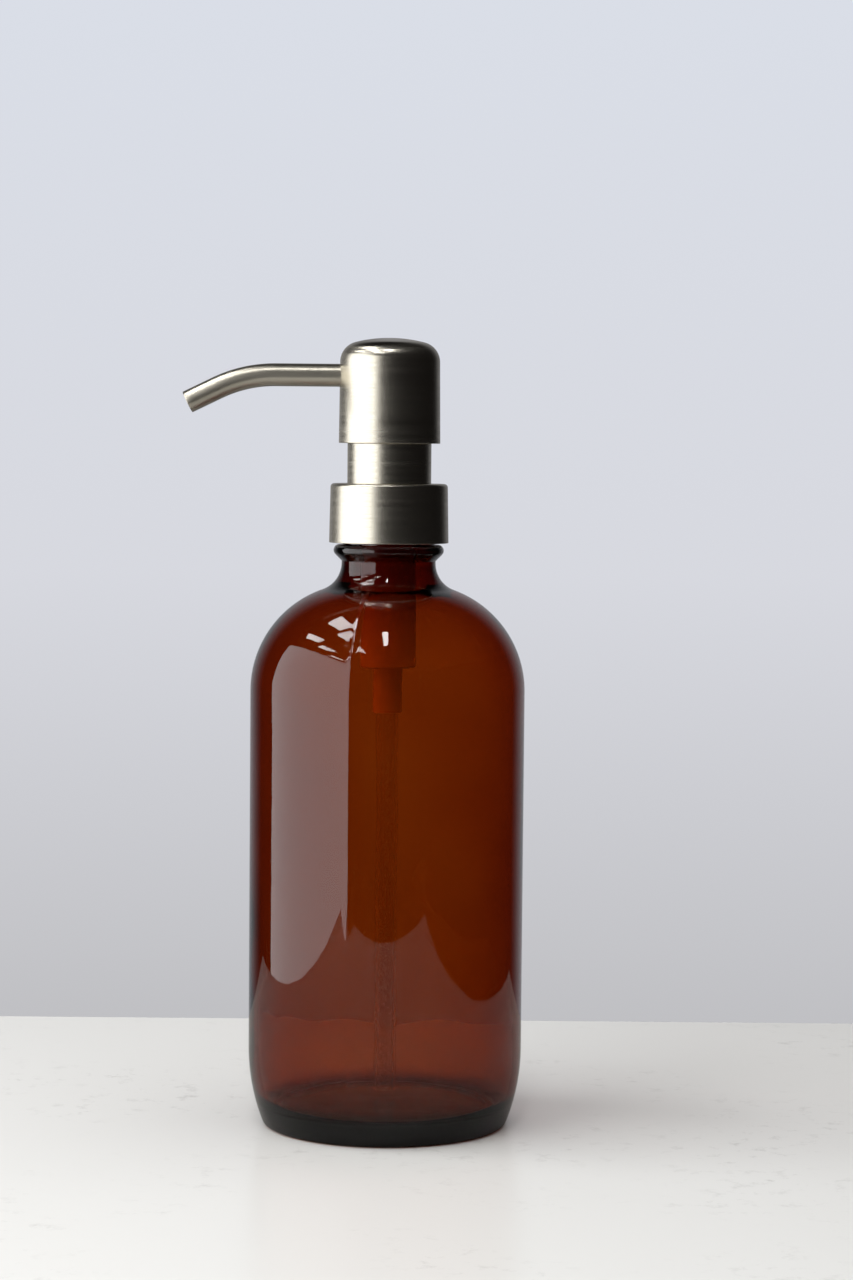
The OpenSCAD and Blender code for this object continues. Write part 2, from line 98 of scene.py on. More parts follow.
def length(name, description, default):
    """A size that a user may change, shown in the scene's length unit."""
    return FloatProperty(name=name, description=description, default=default, min=0.0,
                         unit="LENGTH", subtype="DISTANCE", precision=5)


def colour(name, description, default):
    """A colour that a user may change."""
    return FloatVectorProperty(name=name, description=description, default=default,
                               size=3, min=0.0, max=1.0, subtype="COLOR")


class BottleSizes(bpy.types.PropertyGroup):
    """Sizes of the glass bottle."""

    shoulder_z: length("Shoulder height", "Height at which the shoulder starts", 118.9 * MM)
    shoulder_r: length("Shoulder radius", "Radius of the shoulder, seen from the side", 29.2 * MM)
    neck_fillet: length("Neck fillet", "Radius of the hollow curve under the neck", 7.8 * MM)
    neck_h: length("Neck", "Straight neck up to the middle of the bead", 3.4 * MM)
    wall: length("Wall", "Wall of the glass body", 2.4 * MM)
    base_t: length("Base", "Glass under the liquid at the bearing ring", 5 * MM)
    push_up: length("Push-up", "Height of the hollow under the base", 2.2 * MM)
    heel_r: length("Heel curve", "Radius of the long curve above the base", 54 * MM)
    heel_z: length("Heel height", "Height at which the heel curve starts", 20.8 * MM)
    heel_corner: length("Heel corner", "Radius of the corner at the bearing ring", 1.5 * MM)
    ring_w: length("Bearing ring", "Width of the flat bearing ring", 3 * MM)
    inner_corner: length("Inner corner", "Radius of the corner inside the base", 6 * MM)
    thread_r: length("Thread radius", "Radius over the glass thread", 13.75 * MM)
    thread_h: length("Thread height", "Height of the thread above the finish wall", 1.15 * MM)
    pitch: length("Thread pitch", "Rise of the thread in one turn", 4.2333 * MM)
    thread_turns: FloatProperty(name="Thread turns", description="Turns of thread", default=1.15)
    mouth_r: length("Mouth radius", "Radius of the mouth's bore", 9.2 * MM)
    bead_out: length("Bead", "How far the bead stands out past the thread", 1.25 * MM)
    bead_round: length("Bead round", "Radius of the bead's edge", 1.6 * MM)
    seam_h: FloatProperty(name="Seam height", description="Mould seam's share of the radius",
                          default=0.003)
    seam_at: FloatProperty(name="Seam direction", default=math.radians(-105), subtype="ANGLE",
                           description="Direction of one mould seam about the axis")
    ripple: length("Ripple", "Unevenness of the glass on its inside", 0.35 * MM)
    steps: IntProperty(name="Steps", description="Steps around each half of the glass", default=80)


class MetalSizes(bpy.types.PropertyGroup):
    """Sizes of the metal covers and the spout."""

    wall: length("Cover wall", "Wall of the metal covers", 0.6 * MM)
    sleeve_wall: length("Sleeve wall", "Wall of the guide sleeve", 0.5 * MM)
    sleeve_r: length("Sleeve radius", "Outer radius of the guide sleeve", 11.4 * MM)
    sleeve_roll: length("Rolled edge", "Width of the sleeve's rolled top edge", 1.4 * MM)
    collar_flare: length("Collar flare", "How much wider the collar is at its lower edge", 0.3 * MM)
    collar_round: length("Collar round", "Rounding of the collar's upper edge", 1 * MM)
    slide_gap: length("Sleeve clearance", "Clearance around the sleeve", 0.45 * MM)
    head_taper: length("Head taper", "How much narrower the head is at its top", 0.23 * MM)
    crown_edge: length("Crown edge", "Radius between the head's side and its crown", 5.5 * MM)
    crown_r: length("Crown", "Radius of the crown", 38 * MM)
    rim_round: length("Rim round", "Softened edge of each cut rim", 0.15 * MM)
    spout_r: length("Spout radius", "Outer radius of the spout", 3.1 * MM)
    spout_wall: length("Spout wall", "Wall of the spout", 0.5 * MM)
    spout_in: length("Spout start", "Distance from the axis to the spout's inner end", 7 * MM)
    spout_reach: length("Spout reach", "Distance from the axis to the bend", 31 * MM)
    bend_r: length("Bend", "Radius of the bend at the middle of the tube", 36 * MM)
    bend: FloatProperty(name="Bend angle", description="Angle that the spout turns down",
                        default=math.radians(26), subtype="ANGLE")
    tip: length("Tip", "Straight end of the spout", 9 * MM)
    steps: IntProperty(name="Steps", description="Steps around a turned cover", default=160)


class SpringSizes(bpy.types.PropertyGroup):
    """Sizes of the return spring."""

    wire: length("Wire", "Diameter of the spring's wire", 0.8 * MM)
    turns: IntProperty(name="Turns", description="Turns of the spring, with its two closed ends",
                       default=6, min=3)
    closed: FloatProperty(name="Closed rise", description="Rise of a closed end turn, in wires",
                          default=1.05)
    steps: IntProperty(name="Steps", description="Steps in one turn", default=32, min=8)


class Finishes(bpy.types.PropertyGroup):
    """Colours of the materials."""

    glass_red: FloatProperty(name="Red absorbed", description="Red light lost, per metre of glass",
                             default=330)
    glass_green: FloatProperty(name="Green absorbed", description="Green light lost, per metre of glass",
                               default=760)
    glass_blue: FloatProperty(name="Blue absorbed", description="Blue light lost, per metre of glass",
                              default=1500)
    glass_cast: colour("Glass shadow", "Colour of lamp light that comes through the glass",
                       (0.86, 0.60, 0.32))
    metal: colour("Metal", "Colour of the brushed metal", (0.60, 0.565, 0.485))
    metal_dark: colour("Metal grain", "Colour in the grain of the metal", (0.53, 0.495, 0.415))
    steel: colour("Steel", "Colour of the spring and the ball", (0.62, 0.62, 0.62))
    steel_dark: colour("Steel grain", "Colour in the grain of the steel", (0.48, 0.48, 0.49))
    natural: colour("Natural plastic", "Colour of the see-through pump plastic", (0.97, 0.95, 0.92))
    white: colour("White plastic", "Colour of the white pump plastic", (0.84, 0.84, 0.82))
    seal: colour("Seal", "Colour of the piston's seal", (0.78, 0.82, 0.86))
    seal_dark: colour("Seal shade", "Uneven tone of the piston's seal", (0.72, 0.77, 0.82))
    foam: colour("Foam", "Colour of the gasket", (0.88, 0.88, 0.86))


class StageSettings(bpy.types.PropertyGroup):
    """The camera, the lights and the table."""

    camera_at: FloatVectorProperty(name="Camera", description="Place of the camera", size=3,
                                   default=(0.0105, -0.830, 0.1853), unit="LENGTH")
    pitch: FloatProperty(name="Pitch", description="How far the camera looks down",
                         default=math.radians(3.62), subtype="ANGLE")
    roll: FloatProperty(name="Roll", description="Roll of the camera", default=math.radians(0.5),
                        subtype="ANGLE")
    lens: FloatProperty(name="Lens", description="Focal length in millimetres", default=85.8)
    table_edge: length("Table edge", "Distance from the bottle to the table's far edge", 0.152)
    window: FloatProperty(name="Window light", description="Brightness of the large soft light",
                          default=2.5)
    fill: FloatProperty(name="Fill light", description="Power of the overhead fill in watts",
                        default=17.0)
    pane: FloatProperty(name="Pane light", description="Power of each skylight pane in watts",
                        default=4.5)
    strip: FloatProperty(name="Strip light", description="Power of the narrow light in watts",
                         default=2.6)
    table: colour("Table", "Colour of the table", (0.81, 0.805, 0.78))
    speck: colour("Speck", "Colour of the specks in the table", (0.45, 0.44, 0.42))
    # Painted shade: the darker colour that the table is given only where it is seen in reflections
    mirrored: colour("Reflected table", "Colour of the table in reflections", (0.36, 0.35, 0.33))


# ---------------------------------------------------------------- outlines and meshes

def arc(x, z, r, start, end, steps):
    """Points [radius, height] of an arc about (x, z), with its angles in degrees."""
    turns = [math.radians(start + (end - start) * i / steps) for i in range(steps + 1)]
    return [(x + r * math.cos(t), z + r * math.sin(t)) for t in turns]


def line(a, b, steps):
    """Points between a and b, without the two ends."""
    return [(a[0] + (b[0] - a[0]) * i / steps, a[1] + (b[1] - a[1]) * i / steps)
            for i in range(1, steps)]


def deselect():
    """Leaves no object selected."""
    if bpy.context.mode != "OBJECT":
        bpy.ops.object.mode_set(mode="OBJECT")
    bpy.ops.object.select_all(action="DESELECT")


def start_piece(name):
    """Adds a single vertex at the origin, in edit mode, as the start of a piece."""
    deselect()
    bpy.ops.mesh.primitive_plane_add(size=MM, location=(0, 0, 0))
    piece = bpy.context.object
    piece.name = name
    piece.data.name = name
    bpy.ops.object.mode_set(mode="EDIT")
    bpy.ops.mesh.select_all(action="SELECT")
    bpy.ops.mesh.merge(type="CENTER")
    return piece


def draw_outline(points, azimuth=0.0):
    """Extrudes the selected vertex along [radius, height] points, in the plane at azimuth."""
    places = [(r * math.cos(azimuth), r * math.sin(azimuth), z) for r, z in points]
    here = (0.0, 0.0, 0.0)
    for i, place in enumerate(places):
        step = tuple(b - a for a, b in zip(here, place))
        here = place
        if i == 0:
            bpy.ops.transform.translate(value=step)
        else:
            bpy.ops.mesh.extrude_region_move(TRANSFORM_OT_translate={"value": step})


def close_mesh():
    """Merges doubles, points every face outwards and leaves edit mode."""
    bpy.ops.mesh.select_all(action="SELECT")
    bpy.ops.mesh.remove_doubles(threshold=MERGE)
    bpy.ops.mesh.normals_make_consistent(inside=False)
    bpy.ops.object.mode_set(mode="OBJECT")


def smooth(piece, degrees=30):
    """Smooth shading, except across edges sharper than the angle."""
    deselect()
    piece.select_set(True)
    bpy.context.view_layer.objects.active = piece
    bpy.ops.object.shade_smooth_by_angle(angle=math.radians(degrees))


def apply_modifier(piece, kind, **settings):
    """Adds one modifier with its settings and applies it."""
    deselect()
    piece.select_set(True)
    bpy.context.view_layer.objects.active = piece
    modifier = piece.modifiers.new(kind.title(), kind)
    for key, value in settings.items():
        setattr(modifier, key, value)
    bpy.ops.object.modifier_apply(modifier=modifier.name)


def turned(name, outline, steps):
    """A piece turned about the Z axis from a closed outline."""
    piece = start_piece(name)
    draw_outline(outline + outline[:1])
    bpy.ops.mesh.select_all(action="SELECT")
    bpy.ops.mesh.spin(steps=steps, angle=FULL_TURN, center=(0, 0, 0), axis=(0, 0, 1))
    close_mesh()
    smooth(piece)
    return piece


def finish_piece(piece, node, body, material):
    """Puts a finished piece in the place of its CAD node."""
    piece.data.materials.clear()
    piece.data.materials.append(material)
    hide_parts(node)
    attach(piece, body)


# ---------------------------------------------------------------- materials

class Nodes:
    """Short-hand for building one material's node tree."""

    def __init__(self, name):
        self.material = bpy.data.materials.new(name)
        self.material.use_nodes = True
        self.tree = self.material.node_tree
        self.shader = self.tree.nodes["Principled BSDF"]
        self.output = self.tree.nodes["Material Output"]

    def add(self, kind, **settings):
        """Adds a node: settings name its attributes, or its inputs with spaces as underscores."""
        node = self.tree.nodes.new(kind)
        for key, value in settings.items():
            if hasattr(node, key):
                setattr(node, key, value)
            else:
                node.inputs[key.replace("_", " ")].default_value = value
        return node

    def link(self, source, target):
        """Links one socket to another."""
        self.tree.links.new(source, target)

    def set(self, **values):
        """Sets the shader's own sockets."""
        for key, value in values.items():
            self.shader.inputs[key.replace("_", " ")].default_value = value

    def place(self, scale=(1, 1, 1)):
        """Object coordinates, stretched by scale."""
        coords = self.add("ShaderNodeTexCoord")
        mapping = self.add("ShaderNodeMapping")
        mapping.inputs["Scale"].default_value = scale
        self.link(coords.outputs["Object"], mapping.inputs["Vector"])
        return mapping.outputs["Vector"]

    def noise(self, vector, scale, detail=3.0, rough=0.5):
        """A noise pattern's value."""
        node = self.add("ShaderNodeTexNoise", Scale=scale, Detail=detail, Roughness=rough)
        self.link(vector, node.inputs["Vector"])
        return node.outputs["Fac"]

    def spread(self, value, source, target):
        """Maps a value from one (low, high) range to another, held at both ends."""
        node = self.add("ShaderNodeMapRange", From_Min=source[0], From_Max=source[1],
                        To_Min=target[0], To_Max=target[1])
        self.link(value, node.inputs["Value"])
        return node.outputs["Result"]

    def blend(self, amount, first, second):
        """Mixes two colours by an amount."""
        node = self.add("ShaderNodeMix", data_type="RGBA")
        self.link(amount, node.inputs[0])
        node.inputs[6].default_value = (*first, 1)
        node.inputs[7].default_value = (*second, 1)
        return node.outputs[2]

    def bump(self, height, strength, distance):
        """Bumps the shader's normal by a height pattern."""
        node = self.add("ShaderNodeBump", Strength=strength, Distance=distance)
        self.link(height, node.inputs["Height"])
        self.link(node.outputs["Normal"], self.shader.inputs["Normal"])


def darker(tint, share):
    """A colour with only a share of its light."""
    return tuple(c * share for c in tint)


def amber_glass(finish):
    """Clear amber glass: its colour is light lost in the wall, and lamps shine through it."""
    nodes = Nodes("amber_glass")
    nodes.set(Base_Color=(1, 1, 1, 1), Roughness=0.01, IOR=1.5)
    nodes.shader.inputs["Transmission Weight"].default_value = 1.0
    most = finish.glass_blue
    tint = (1 - finish.glass_red / most, 1 - finish.glass_green / most, 0.0, 1)
    lit_through = nodes.add("ShaderNodeBsdfTransparent", Color=(*finish.glass_cast, 1))
    path = nodes.add("ShaderNodeLightPath")
    cast = nodes.add("ShaderNodeMixShader")
    nodes.link(path.outputs["Is Shadow Ray"], cast.inputs[0])
    nodes.link(nodes.shader.outputs["BSDF"], cast.inputs[1])
    nodes.link(lit_through.outputs["BSDF"], cast.inputs[2])
    nodes.link(cast.outputs["Shader"], nodes.output.inputs["Surface"])
    volume = nodes.add("ShaderNodeVolumeAbsorption", Color=tint, Density=most)
    nodes.link(volume.outputs["Volume"], nodes.output.inputs["Volume"])
    waves = nodes.noise(nodes.place(scale=(1, 1, 0.35)), scale=60, detail=2.0)
    nodes.bump(waves, strength=0.12, distance=0.6 * MM)
    return nodes.material


def brushed_metal(finish):
    """Satin metal brushed round the axis: fine rings, each a little different in tone and gloss."""
    nodes = Nodes("brushed_metal")
    coords = nodes.add("ShaderNodeTexCoord")
    split = nodes.add("ShaderNodeSeparateXYZ")
    nodes.link(coords.outputs["Object"], split.inputs["Vector"])
    flat = nodes.add("ShaderNodeCombineXYZ")
    nodes.link(split.outputs["X"], flat.inputs["X"])
    nodes.link(split.outputs["Y"], flat.inputs["Y"])
    radius = nodes.add("ShaderNodeVectorMath", operation="LENGTH")
    nodes.link(flat.outputs["Vector"], radius.inputs[0])
    rings = nodes.add("ShaderNodeCombineXYZ")
    nodes.link(radius.outputs["Value"], rings.inputs["X"])
    nodes.link(split.outputs["Z"], rings.inputs["Y"])
    along = nodes.add("ShaderNodeMath", operation="MULTIPLY")
    nodes.link(split.outputs["X"], along.inputs[0])
    along.inputs[1].default_value = 0.008
    nodes.link(along.outputs["Value"], rings.inputs["Z"])
    fine = nodes.noise(rings.outputs["Vector"], scale=9000, detail=1.0)
    broad = nodes.noise(rings.outputs["Vector"], scale=700)
    tone = nodes.spread(fine, GRAIN, FULL)
    nodes.link(nodes.blend(tone, finish.metal_dark, finish.metal), nodes.shader.inputs["Base Color"])
    nodes.link(nodes.spread(broad, GRAIN, (0.22, 0.28)), nodes.shader.inputs["Roughness"])
    nodes.set(Metallic=1.0)
    nodes.shader.inputs["Anisotropic"].default_value = 0.75
    tangent = nodes.add("ShaderNodeTangent", direction_type="RADIAL", axis="Z")
    nodes.link(tangent.outputs["Tangent"], nodes.shader.inputs["Tangent"])
    nodes.bump(fine, strength=0.035, distance=0.02 * MM)
    return nodes.material


def spout_metal(finish):
    """The same metal on the spout, rubbed along the tube, from the piece's own UV map."""
    nodes = Nodes("brushed_metal_spout")
    coords = nodes.add("ShaderNodeTexCoord")
    mapping = nodes.add("ShaderNodeMapping")
    mapping.inputs["Scale"].default_value = (60, 2.0, 1)
    nodes.link(coords.outputs["UV"], mapping.inputs["Vector"])
    fine = nodes.noise(mapping.outputs["Vector"], scale=3.0, rough=0.6)
    tone = nodes.spread(fine, GRAIN, FULL)
    nodes.link(nodes.blend(tone, finish.metal_dark, finish.metal), nodes.shader.inputs["Base Color"])
    nodes.link(nodes.spread(fine, GRAIN, (0.30, 0.38)), nodes.shader.inputs["Roughness"])
    nodes.set(Metallic=1.0)
    nodes.shader.inputs["Anisotropic"].default_value = 0.6
    nodes.shader.inputs["Anisotropic Rotation"].default_value = 0.25
    tangent = nodes.add("ShaderNodeTangent", direction_type="UV_MAP", uv_map="tube")
    nodes.link(tangent.outputs["Tangent"], nodes.shader.inputs["Tangent"])
    nodes.bump(fine, strength=0.04, distance=0.03 * MM)
    return nodes.material


def steel(finish):
    """Bright drawn and polished steel."""
    nodes = Nodes("steel")
    grain = nodes.noise(nodes.place(), scale=2500, detail=2.0)
    nodes.link(nodes.blend(grain, finish.steel_dark, finish.steel), nodes.shader.inputs["Base Color"])
    nodes.link(nodes.spread(grain, GRAIN, (0.14, 0.26)), nodes.shader.inputs["Roughness"])
    nodes.set(Metallic=1.0)
    return nodes.material


def plastic(name, tint, shade, roughness, see_through=0.0, bend=1.5):
    """Moulded plastic: fine matt skin, a slightly uneven tone, and as much see-through as asked."""
    nodes = Nodes(name)
    cloud = nodes.noise(nodes.place(), scale=140)
    skin = nodes.noise(nodes.place(), scale=3800, detail=2.0)
    nodes.link(nodes.blend(nodes.spread(cloud, (0.35, 0.65), FULL), shade, tint),
               nodes.shader.inputs["Base Color"])
    nodes.link(nodes.spread(skin, GRAIN, (roughness - 0.05, roughness + 0.06)),
               nodes.shader.inputs["Roughness"])
    nodes.shader.inputs["Transmission Weight"].default_value = see_through
    nodes.set(IOR=bend)
    nodes.bump(skin, strength=0.1, distance=0.03 * MM)
    return nodes.material


def foam(finish):
    """Closed-cell foam of the gasket."""
    nodes = Nodes("gasket_foam")
    cells = nodes.add("ShaderNodeTexVoronoi", Scale=2600)
    nodes.link(nodes.place(), cells.inputs["Vector"])
    nodes.link(nodes.blend(cells.outputs["Distance"], darker(finish.foam, 0.8), finish.foam),
               nodes.shader.inputs["Base Color"])
    nodes.set(Roughness=0.85)
    nodes.bump(cells.outputs["Distance"], strength=0.4, distance=0.1 * MM)
    return nodes.material


def table_stone(stage):
    """Pale polished stone with faint grey clouds and small specks; in reflections it shows a darker copy of
    its colour, as painted shade.
    """
    nodes = Nodes("table_stone")
    cloud_noise = nodes.noise(nodes.place(), scale=14, detail=4.0, rough=0.6)
    speck_noise = nodes.noise(nodes.place(), scale=150, detail=6.0, rough=0.7)
    clouds = nodes.spread(cloud_noise, (0.46, 0.64), FULL)
    specks = nodes.spread(speck_noise, (0.55, 0.68), (0.0, 0.45))
    both = nodes.add("ShaderNodeMath", operation="MULTIPLY")
    nodes.link(clouds, both.inputs[0])
    nodes.link(specks, both.inputs[1])
    nodes.link(nodes.blend(both.outputs["Value"], stage.table, stage.speck),
               nodes.shader.inputs["Base Color"])
    nodes.set(Roughness=0.22, IOR=1.28)
    # Painted shade: reflected rays, but not rays through the glass, see the table as a plain darker diffuse
    # copy in place of the lit stone
    path = nodes.add("ShaderNodeLightPath")
    painted_reflection_shade = nodes.add("ShaderNodeBsdfDiffuse", Color=(*stage.mirrored, 1))
    reflected = nodes.add("ShaderNodeMath", operation="SUBTRACT", use_clamp=True)
    nodes.link(path.outputs["Is Glossy Ray"], reflected.inputs[0])
    nodes.link(path.outputs["Is Transmission Ray"], reflected.inputs[1])
    mirrored = nodes.add("ShaderNodeMixShader")
    nodes.link(reflected.outputs["Value"], mirrored.inputs[0])
    nodes.link(nodes.shader.outputs["BSDF"], mirrored.inputs[1])
    nodes.link(painted_reflection_shade.outputs["BSDF"], mirrored.inputs[2])
    nodes.link(mirrored.outputs["Shader"], nodes.output.inputs["Surface"])
    return nodes.material


# ---------------------------------------------------------------- pieces

def bottle_curves(s):
    """Centres and angles of the curves in the bottle's outline, in degrees and metres."""
    body_r = high("bottle").x / (1 + s.seam_h)
    top = high("bottle").z
    finish_r = s.thread_r - s.thread_h
    neck_r = finish_r + NECK_STEP
    shoulder_x = body_r - s.shoulder_r
    heel_x = body_r - s.heel_r

    def tangent(x, r, reach):
        """Height and angle at which a curve of radius reach about x meets the shoulder's radius r."""
        rise = math.sqrt((r + reach) ** 2 - (x - shoulder_x) ** 2)
        return s.shoulder_z + rise, math.degrees(math.atan2(rise, x - shoulder_x))

    fillet_z, fillet_a = tangent(neck_r + s.neck_fillet, s.shoulder_r, s.neck_fillet)
    mouth_z, mouth_a = tangent(s.mouth_r + s.neck_fillet, s.shoulder_r - s.wall, s.neck_fillet)
    corner_x = heel_x + math.sqrt((s.heel_r - s.heel_corner) ** 2 - (s.heel_z - s.heel_corner) ** 2)
    corner_a = math.degrees(math.atan2(s.heel_corner - s.heel_z, corner_x - heel_x))
    drop = s.base_t + s.inner_corner
    inner_x = heel_x + math.sqrt((s.heel_r - s.wall - s.inner_corner) ** 2 - (s.heel_z - drop) ** 2)
    inner_a = math.degrees(math.atan2(drop - s.heel_z, inner_x - heel_x))
    return SimpleNamespace(
        body_r=body_r, top=top, finish_r=finish_r, neck_r=neck_r, shoulder_x=shoulder_x, heel_x=heel_x,
        fillet_z=fillet_z, fillet_a=fillet_a, mouth_z=mouth_z, mouth_a=mouth_a,
        corner_x=corner_x, corner_a=corner_a, drop=drop, inner_x=inner_x, inner_a=inner_a)


def bottle_outline(s):
    """The wall of the bottle in section, from the middle of the base round to the middle of the floor."""
    c = bottle_curves(s)
    bead_x = s.thread_r + s.bead_out - s.bead_round
    bead_z = c.fillet_z + s.neck_h
    bead_top = bead_z + s.bead_round
    ring_in = c.corner_x - s.ring_w
    push_r = (ring_in ** 2 + s.push_up ** 2) / (2 * s.push_up)
    push_a = math.degrees(math.asin(ring_in / push_r))
    crown = s.push_up - FLOOR_STEP
    floor_z = s.base_t + crown
    floor_r = (c.inner_x ** 2 + crown ** 2) / (2 * crown)
    floor_a = math.degrees(math.asin(c.inner_x / floor_r))
    fillet_x = c.neck_r + s.neck_fillet
    mouth_x = s.mouth_r + s.neck_fillet
    body, inner = c.body_r, c.body_r - s.wall
    under_bead = bead_z - s.bead_round * math.sqrt(2) - bead_x + c.neck_r
    outside = (
        arc(0, s.push_up - push_r, push_r, 90, 90 - push_a, 14)
        + arc(c.corner_x, s.heel_corner, s.heel_corner, -90, c.corner_a, 8)
        + arc(c.heel_x, s.heel_z, s.heel_r, c.corner_a, 0, 20)[1:]
        + line((body, s.heel_z), (body, s.shoulder_z), 36)
        + arc(c.shoulder_x, s.shoulder_z, s.shoulder_r, 0, c.fillet_a, 40)
        + arc(fillet_x, c.fillet_z, s.neck_fillet, c.fillet_a + 180, 180, 16)[1:]
        + [(c.neck_r, under_bead)]
        + arc(bead_x, bead_z, s.bead_round, -45, 90, 12)
        + [(c.finish_r, bead_top)]
        + line((c.finish_r, bead_top), (c.finish_r, c.top - LIP), 10)
        + arc(c.finish_r - LIP, c.top - LIP, LIP, 0, 90, 6))
    inside = (
        arc(s.mouth_r + LIP, c.top - LIP, LIP, 90, 180, 6)
        + line((s.mouth_r, c.top - LIP), (s.mouth_r, c.mouth_z), 6)
        + arc(mouth_x, c.mouth_z, s.neck_fillet, 180, c.mouth_a + 180, 16)
        + arc(c.shoulder_x, s.shoulder_z, s.shoulder_r - s.wall, c.mouth_a, 0, 36)[1:]
        + line((inner, s.shoulder_z), (inner, s.heel_z), 36)
        + arc(c.heel_x, s.heel_z, s.heel_r - s.wall, 0, c.inner_a, 12)
        + arc(c.inner_x, c.drop, s.inner_corner, c.inner_a, -90, 12)[1:]
        + arc(0, floor_z - floor_r, floor_r, 90 - floor_a, 90, 14)[1:])
    return outside, inside


def is_outside(vertex, s, c, slack=0.5):
    """True for a vertex on the outer face of the glass body, below the neck; c is its curves."""
    r = math.hypot(vertex.co.x, vertex.co.y)
    z = vertex.co.z
    if z > c.fillet_z or z < s.heel_corner:
        return False
    if z > s.shoulder_z:
        from_centre = math.hypot(r - c.shoulder_x, z - s.shoulder_z)
        return from_centre > s.shoulder_r - slack * s.wall
    if z < s.heel_z:
        from_centre = math.hypot(r - c.heel_x, z - s.heel_z)
        return from_centre > s.heel_r - slack * s.wall
    return r > c.body_r - slack * s.wall


def raise_seams(piece, s):
    """Lifts the middle of the two narrow bands of faces into mould seams."""
    mesh = bmesh.from_edit_mesh(piece.data)
    bpy.ops.mesh.select_all(action="DESELECT")
    curves = bottle_curves(s)
    for vertex in mesh.verts:
        turn = math.atan2(vertex.co.y, vertex.co.x) - s.seam_at
        off = abs((turn + math.pi / 2) % math.pi - math.pi / 2)
        if off < SEAM_SLACK and is_outside(vertex, s, curves):
            vertex.select = True
    mesh.select_flush_mode()
    bmesh.update_edit_mesh(piece.data)
    bpy.ops.transform.resize(value=(1 + s.seam_h, 1 + s.seam_h, 1), center_override=(0, 0, 0))


def glass_thread(s):
    """The glass thread as a bar wound round the finish, open to be joined to it."""
    root = s.thread_r - s.thread_h - THREAD_SINK
    z = high("bottle").z - THREAD_DROP - s.thread_turns * s.pitch
    piece = start_piece("glass_thread")
    section = [(root, z - THREAD_FOOT), (s.thread_r, z - THREAD_CREST),
               (s.thread_r, z + THREAD_CREST), (root, z + THREAD_FOOT)]
    draw_outline(section + section[:1])
    bpy.ops.mesh.select_all(action="SELECT")
    bpy.ops.mesh.remove_doubles(threshold=MERGE)
    bpy.ops.object.mode_set(mode="OBJECT")
    apply_modifier(piece, "SCREW", angle=s.thread_turns * FULL_TURN,
                   screw_offset=s.thread_turns * s.pitch,
                   steps=THREAD_STEPS, render_steps=THREAD_STEPS, axis="Z")
    bpy.ops.object.mode_set(mode="EDIT")
    bpy.ops.mesh.select_all(action="DESELECT")
    bpy.ops.mesh.select_mode(type="EDGE")
    bpy.ops.mesh.select_non_manifold()
    bpy.ops.mesh.edge_face_add()
    bpy.ops.mesh.select_mode(type="VERT")
    close_mesh()
    return piece


class SOAP_OT_glass_bottle(bpy.types.Operator):
    """Model the amber glass bottle with its mould seams and threaded finish"""
    bl_idname = "soap_dispenser.glass_bottle"
    bl_label = "Glass Bottle"

    def execute(self, context):
        s = context.scene.soap_bottle
        outside, inside = bottle_outline(s)
        half = math.pi - SEAM_BAND
        piece = start_piece("bottle_glass")
        draw_outline(outside + inside, s.seam_at - SEAM_BAND / 2)
        bpy.ops.mesh.select_all(action="SELECT")
        for angle, steps in ((SEAM_BAND, 2), (half, s.steps)) * 2:
            bpy.ops.mesh.spin(steps=steps, angle=angle, center=(0, 0, 0), axis=(0, 0, -1))
        bpy.ops.mesh.select_all(action="SELECT")
        bpy.ops.mesh.remove_doubles(threshold=MERGE)
        raise_seams(piece, s)
        close_mesh()
        self.ripple(piece, s)
        thread = glass_thread(s)
        apply_modifier(piece, "BOOLEAN", operation="UNION", object=thread, solver="EXACT")
        bpy.data.objects.remove(thread)
        smooth(piece, degrees=40)
        glass = amber_glass(context.scene.soap_finish)
        finish_piece(piece, "bottle", "bottle", glass)
        return {"FINISHED"}

    def ripple(self, piece, s):
        """Makes the inside of the glass a little uneven, as blown glass is."""
        group = piece.vertex_groups.new(name="inside")
        curves = bottle_curves(s)
        indices = [v.index for v in piece.data.vertices
                   if not is_outside(v, s, curves) and s.base_t < v.co.z < curves.fillet_z]
        group.add(indices, 1.0, "REPLACE")
        texture = bpy.data.textures.new("glass_ripple", "CLOUDS")
        texture.noise_scale = 0.022
        texture.noise_depth = 1
        apply_modifier(piece, "DISPLACE", texture=texture, strength=s.ripple, mid_level=0.5,
                       vertex_group="inside", texture_coords="LOCAL")


def collar_outline(s):
    """Section of the collar's metal cover."""
    wide = high("collar_shell").x
    top, bottom = high("collar_shell").z, low("collar_shell").z
    upper = wide - s.collar_flare
    hole = s.sleeve_r + s.slide_gap
    rim = s.rim_round
    return (
        [(wide - s.wall, bottom + rim)]
        + arc(wide - s.wall + rim, bottom + rim, rim, 180, 270, 4)[1:]
        + arc(wide - rim, bottom + rim, rim, 270, 360, 4)
        + arc(upper - s.collar_round, top - s.collar_round, s.collar_round, 0, 90, 12)
        + arc(hole + rim, top - rim, rim, 90, 180, 4)
        + [(hole, top - s.wall), (upper - s.wall, top - s.wall)])


def sleeve_outline(s):
    """Section of the guide sleeve, with its foot and its rolled top edge."""
    foot, foot_z = high("guide_sleeve").x, low("guide_sleeve").z
    top = high("guide_sleeve").z
    bore = s.sleeve_r - s.sleeve_wall
    return (
        [(bore, foot_z), (foot, foot_z), (foot, foot_z + s.sleeve_wall),
         (s.sleeve_r, foot_z + s.sleeve_wall)]
        + arc(s.sleeve_r - SLEEVE_BEND, top - SLEEVE_BEND, SLEEVE_BEND, 0, 90, 8)
        + [(s.sleeve_r - s.sleeve_roll, top), (s.sleeve_r - s.sleeve_roll, top - s.sleeve_wall),
           (bore, top - s.sleeve_wall)])


